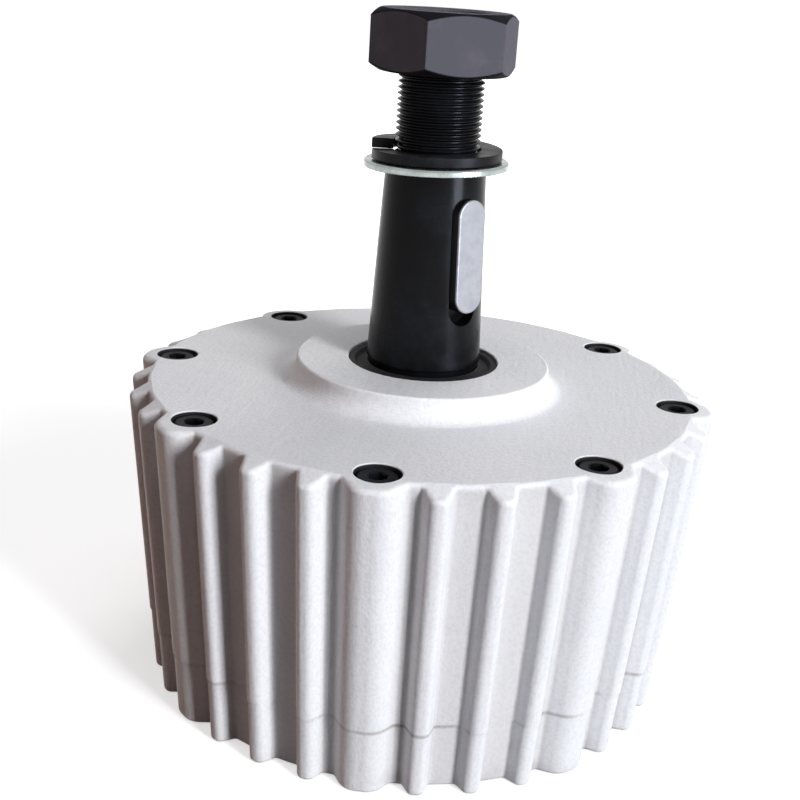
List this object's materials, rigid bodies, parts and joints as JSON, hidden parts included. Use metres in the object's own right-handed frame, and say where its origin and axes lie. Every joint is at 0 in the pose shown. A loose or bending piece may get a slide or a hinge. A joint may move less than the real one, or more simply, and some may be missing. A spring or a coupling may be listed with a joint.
{
  "type": "permanent magnet wind generator",
  "caption": "Permanent magnet wind generator with a ribbed cast housing, a raised hub ring and a tapered keyed shaft that turns, with washers and a nut on its threaded end.",
  "frame": {"origin": "centre of the rear face, which the generator stands on", "axes": "+Z along the shaft from the rear face towards the nut; a bolt boss lies on +X and on every 45 degrees from it; the cable outlet is on the +Y side of the rear face"},
  "size_m": [0.2138, 0.2138, 0.2448],
  "materials": {
    "housing_paint": "satin white paint over a fine sand casting",
    "black_steel": "black oxide, lightly oiled",
    "zinc": "bright zinc plating",
    "key_steel": "plain ground steel",
    "bearing_steel": "ground bearing steel",
    "seal_rubber": "matte black rubber"
  },
  "bodies": {
    "housing": {"front_housing": "housing_paint", "rear_housing": "housing_paint", "housing_screw_1": "black_steel", "housing_screw_2": "black_steel", "housing_screw_3": "black_steel", "housing_screw_4": "black_steel", "housing_screw_5": "black_steel", "housing_screw_6": "black_steel", "housing_screw_7": "black_steel", "housing_screw_8": "black_steel", "shaft_seal": "seal_rubber", "front_bearing": "bearing_steel", "rear_bearing": "bearing_steel", "rear_bearing_cap": "housing_paint", "cap_screw_1": "black_steel", "cap_screw_2": "black_steel", "cap_screw_3": "black_steel", "cap_screw_4": "black_steel", "cable_grommet": "seal_rubber"},
    "rotor": {"shaft": "black_steel", "shaft_key": "key_steel", "flat_washer": "zinc", "lock_washer": "black_steel", "shaft_nut": "black_steel"}
  },
  "joints": [
    {"name": "shaft_spin", "type": "hinge", "parent": "housing", "child": "rotor", "pos_m": [0, 0, 0.1], "axis": [0, 0, 1], "continuous": true}
  ]
}
